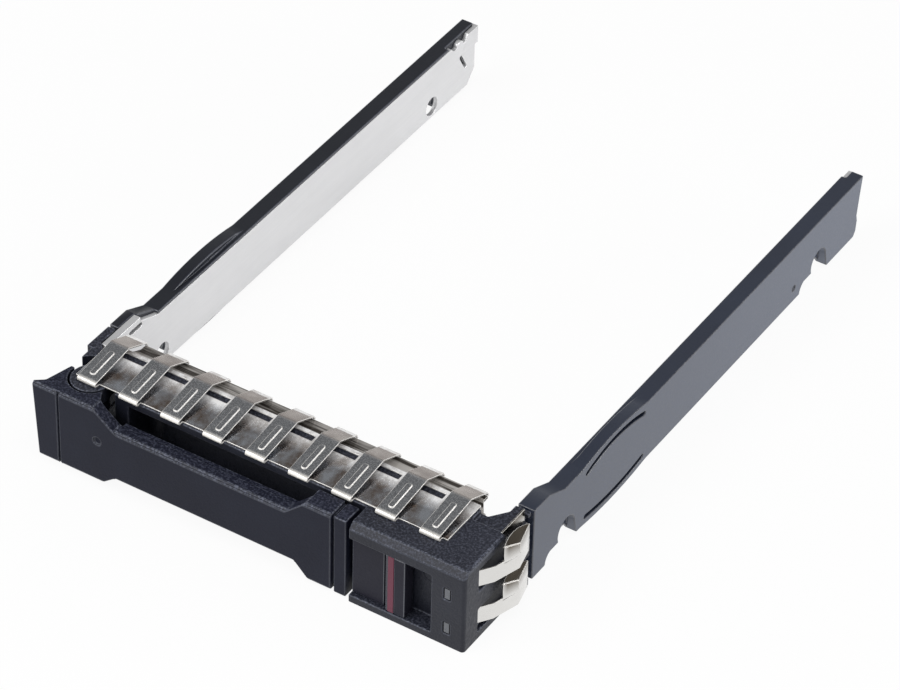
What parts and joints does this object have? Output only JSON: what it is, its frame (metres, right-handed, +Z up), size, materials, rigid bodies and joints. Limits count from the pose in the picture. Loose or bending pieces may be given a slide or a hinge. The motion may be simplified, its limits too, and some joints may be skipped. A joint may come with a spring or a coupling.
{
  "type": "hot swap drive caddy",
  "caption": "Open steel and plastic tray for a small drive, with a swinging ejector lever, a release button and sprung contact fingers on its bezel.",
  "frame": {"origin": "on the bezel's front face, midway between the rails, at the level of the surface it stands on", "axes": "+X to the right along the bezel, +Y back along the rails, +Z up"},
  "size_m": [0.0791, 0.1185, 0.0171],
  "materials": {
    "shell_plastic": "matte",
    "lever_plastic": "satin",
    "button_plastic": "satin",
    "stripe_plastic": "satin",
    "light_pipe": "gloss",
    "plate_steel": "satin",
    "finger_steel": "satin",
    "spring_steel": "satin"
  },
  "bodies": {
    "carrier": {"bezel": "shell_plastic", "mechanism_cover": "shell_plastic", "lever_pivot_pin": "spring_steel", "lever_spring": "spring_steel", "button_spring": "spring_steel", "light_pipe_upper": "light_pipe", "light_pipe_lower": "light_pipe", "emi_strip_top": "finger_steel", "emi_strip_side": "finger_steel", "front_shield": "plate_steel", "left_side_plate": "plate_steel", "right_side_plate": "plate_steel", "left_rail": "shell_plastic", "right_rail": "shell_plastic", "frame_screws": "spring_steel"},
    "lever": {"ejector_lever": "lever_plastic"},
    "button": {"release_button": "button_plastic", "button_stripe": "stripe_plastic", "latch_slide": "lever_plastic"}
  },
  "joints": [
    {"name": "lever_hinge", "type": "hinge", "parent": "carrier", "child": "lever", "pos_m": [-0.0322, 0.0057, 0.0076], "axis": [0, 0, -1], "range_deg": [0, 45]},
    {"name": "button_slide", "type": "slide", "parent": "carrier", "child": "button", "axis": [1, 0, 0], "range_m": [0, 0.0044], "stiffness_N_per_m": 200, "deforming": ["button_spring"]}
  ]
}
